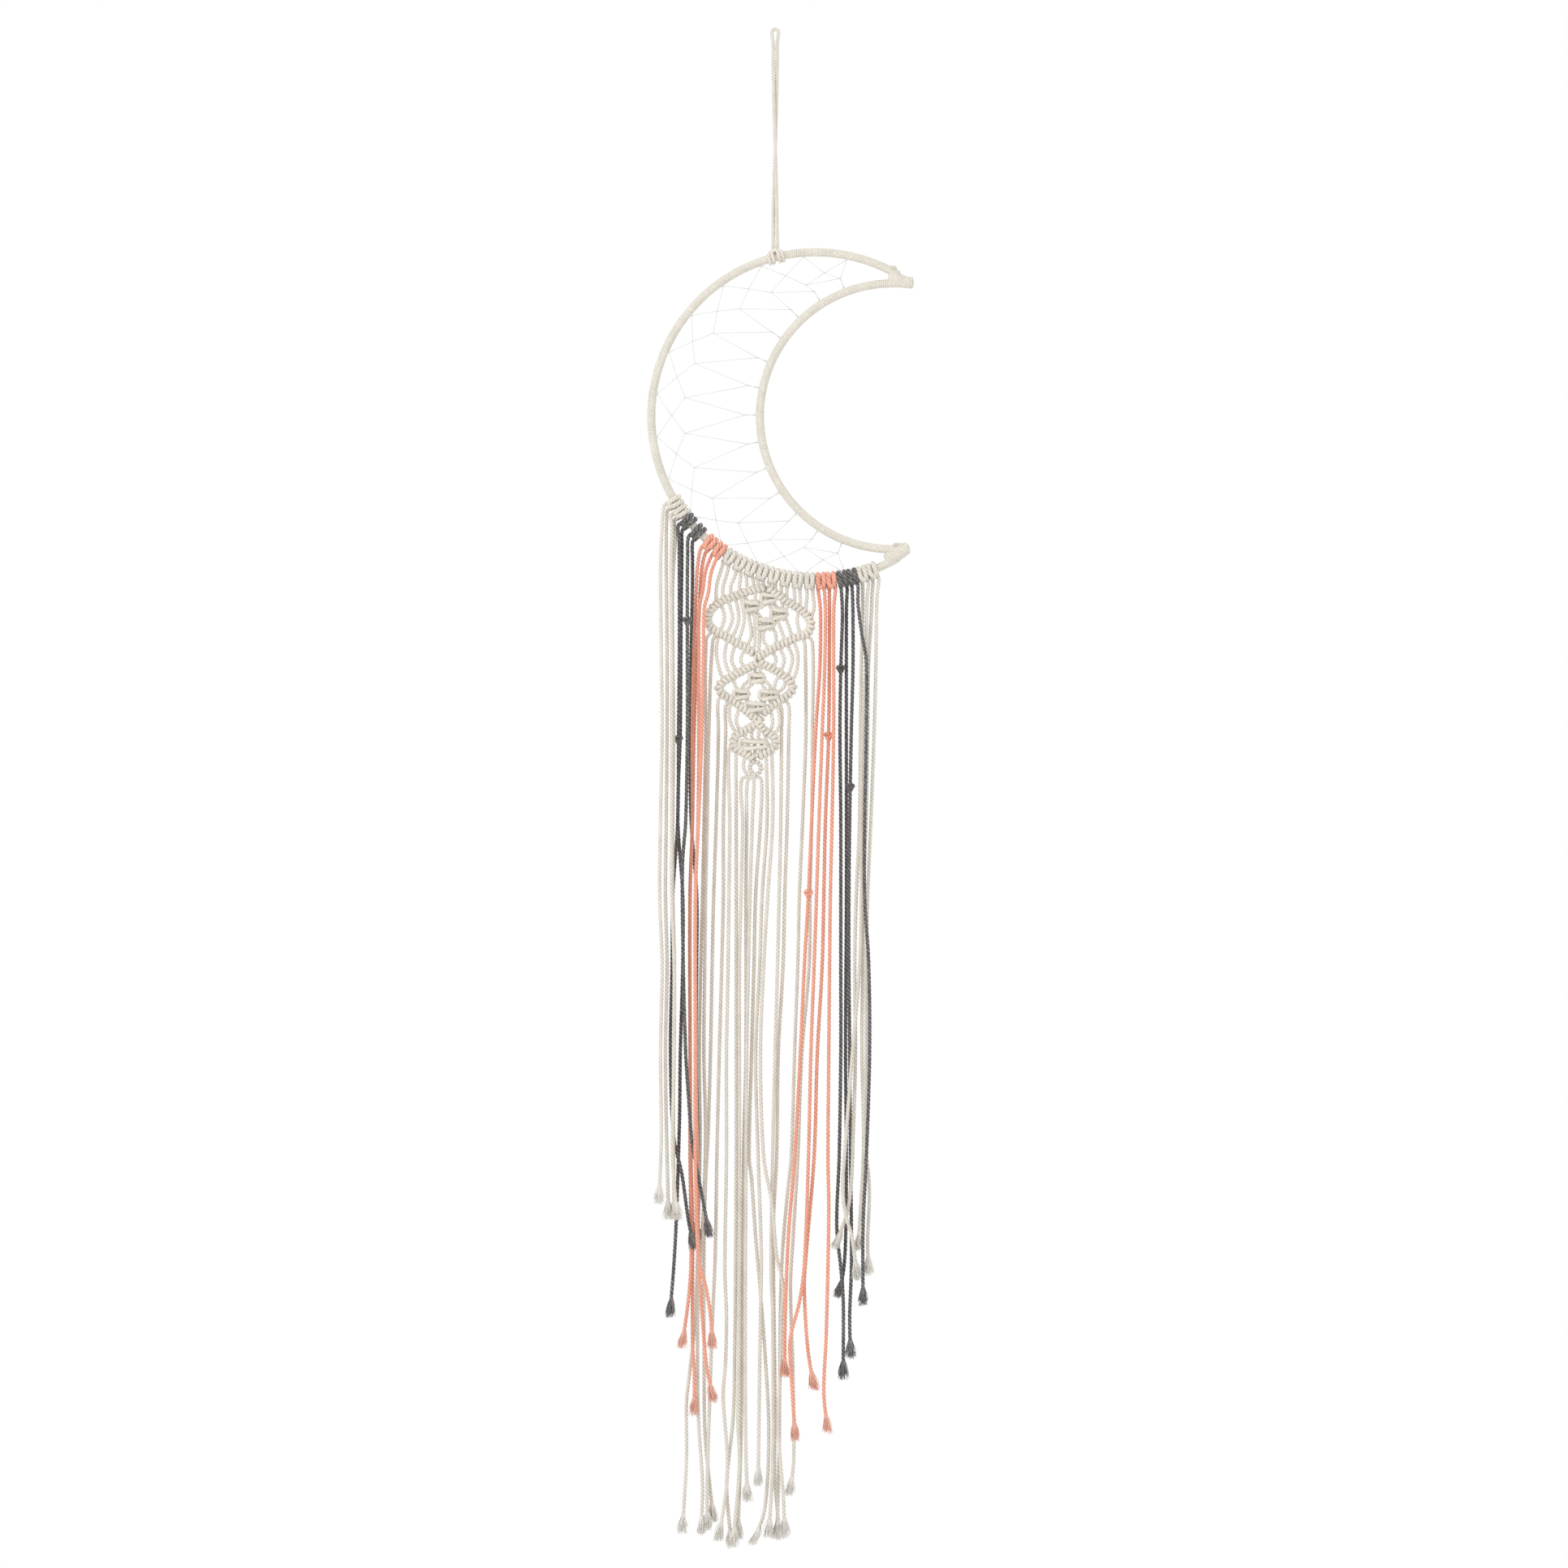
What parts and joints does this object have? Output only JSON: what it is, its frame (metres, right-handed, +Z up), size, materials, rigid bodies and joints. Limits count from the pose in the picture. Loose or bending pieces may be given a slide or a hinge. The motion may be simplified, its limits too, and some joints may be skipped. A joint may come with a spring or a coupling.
{
  "type": "dream catcher",
  "caption": "Macrame moon dream catcher: a yarn-wrapped crescent hoop on a cord loop, with a thread net and a long knotted cotton fringe.",
  "frame": {"origin": "where the hanging loop bears on its nail", "axes": "+Z up the hang, +X to the viewer's right, +Y from the front to the wall"},
  "size_m": [0.1645, 0.0282, 0.9375],
  "materials": {
    "cream_cotton": "matte twisted cotton",
    "coral_cotton": "matte twisted cotton",
    "grey_cotton": "matte heathered cotton",
    "net_thread": "fine waxed thread",
    "steel_wire": "plain wire, hidden"
  },
  "bodies": {
    "nail_bight": {"hanging_loop_bight": "cream_cotton"},
    "loop": {"hanging_loop_legs": "cream_cotton"},
    "hanger": {"hanger_knot": "cream_cotton"},
    "hoop": {"crescent_wire": "steel_wire", "outer_wrap": "cream_cotton", "inner_wrap": "cream_cotton", "top_tip_binding": "cream_cotton", "bottom_tip_binding": "cream_cotton", "web_net": "net_thread", "left_cream_knots": "cream_cotton", "left_grey_knots": "grey_cotton", "left_coral_knots": "coral_cotton", "right_cream_knots": "cream_cotton", "right_grey_knots": "grey_cotton", "right_coral_knots": "coral_cotton", "panel_knots": "cream_cotton"},
    "panel": {"panel_diamond_large": "cream_cotton", "panel_diamond_medium": "cream_cotton", "panel_diamond_small": "cream_cotton", "panel_end_knot": "cream_cotton", "panel_tail_01": "cream_cotton", "panel_tail_02": "cream_cotton", "panel_tail_03": "cream_cotton", "panel_tail_04": "cream_cotton", "panel_tail_05": "cream_cotton", "panel_tail_06": "cream_cotton", "panel_tail_07": "cream_cotton", "panel_tail_08": "cream_cotton", "panel_tail_09": "cream_cotton", "panel_tail_10": "cream_cotton", "panel_tail_11": "cream_cotton", "panel_tail_12": "cream_cotton", "panel_tail_13": "cream_cotton", "panel_tail_14": "cream_cotton", "panel_tail_15": "cream_cotton", "panel_tail_16": "cream_cotton"},
    "left_cream_cords": {"left_cream_1": "cream_cotton", "left_cream_2": "cream_cotton", "left_cream_3": "cream_cotton", "left_cream_4": "cream_cotton"},
    "left_grey_cords": {"left_grey_1": "grey_cotton", "left_grey_2": "grey_cotton", "left_grey_3": "grey_cotton", "left_grey_4": "grey_cotton"},
    "left_coral_cords": {"left_coral_1": "coral_cotton", "left_coral_2": "coral_cotton", "left_coral_3": "coral_cotton", "left_coral_4": "coral_cotton"},
    "right_cream_cords": {"right_cream_1": "cream_cotton", "right_cream_2": "cream_cotton", "right_cream_3": "cream_cotton", "right_cream_4": "cream_cotton"},
    "right_grey_cords": {"right_grey_1": "grey_cotton", "right_grey_2": "grey_cotton", "right_grey_3": "grey_cotton", "right_grey_4": "grey_cotton"},
    "right_coral_cords": {"right_coral_1": "coral_cotton", "right_coral_2": "coral_cotton", "right_coral_3": "coral_cotton", "right_coral_4": "coral_cotton"}
  },
  "joints": [
    {"name": "loop_sway", "type": "hinge", "parent": "nail_bight", "child": "loop", "pos_m": [0, 0, 0], "axis": [0, 1, 0], "range_deg": [-12, 12]},
    {"name": "loop_twist", "type": "hinge", "parent": "loop", "child": "hanger", "pos_m": [0, 0, -0.1325], "axis": [0, 0, 1], "range_deg": [-75, 75]},
    {"name": "hoop_rock", "type": "hinge", "parent": "hanger", "child": "hoop", "pos_m": [0.0004, 0, -0.13923], "axis": [0.9705, 0, 0.2411], "range_deg": [-18, 18]},
    {"name": "left_cream_swing", "type": "hinge", "parent": "hoop", "child": "left_cream_cords", "pos_m": [-0.055, 0, -0.309], "axis": [-1, 0, 0], "range_deg": [0, 22]},
    {"name": "left_grey_swing", "type": "hinge", "parent": "hoop", "child": "left_grey_cords", "pos_m": [-0.055, 0, -0.309], "axis": [-1, 0, 0], "range_deg": [0, 22]},
    {"name": "left_coral_swing", "type": "hinge", "parent": "hoop", "child": "left_coral_cords", "pos_m": [-0.055, 0, -0.309], "axis": [-1, 0, 0], "range_deg": [0, 22]},
    {"name": "right_cream_swing", "type": "hinge", "parent": "hoop", "child": "right_cream_cords", "pos_m": [0.045, 0, -0.342], "axis": [-1, 0, 0], "range_deg": [0, 22]},
    {"name": "right_grey_swing", "type": "hinge", "parent": "hoop", "child": "right_grey_cords", "pos_m": [0.045, 0, -0.342], "axis": [-1, 0, 0], "range_deg": [0, 22]},
    {"name": "right_coral_swing", "type": "hinge", "parent": "hoop", "child": "right_coral_cords", "pos_m": [0.045, 0, -0.342], "axis": [-1, 0, 0], "range_deg": [0, 22]},
    {"name": "panel_swing", "type": "hinge", "parent": "hoop", "child": "panel", "pos_m": [0, 0, -0.34], "axis": [1, 0, 0], "range_deg": [0, 18]}
  ],
  "couplings": [
    {"joint": "left_grey_swing", "follows": "left_cream_swing", "ratio": 1},
    {"joint": "left_coral_swing", "follows": "left_cream_swing", "ratio": 1},
    {"joint": "right_grey_swing", "follows": "right_cream_swing", "ratio": 1},
    {"joint": "right_coral_swing", "follows": "right_cream_swing", "ratio": 1}
  ]
}
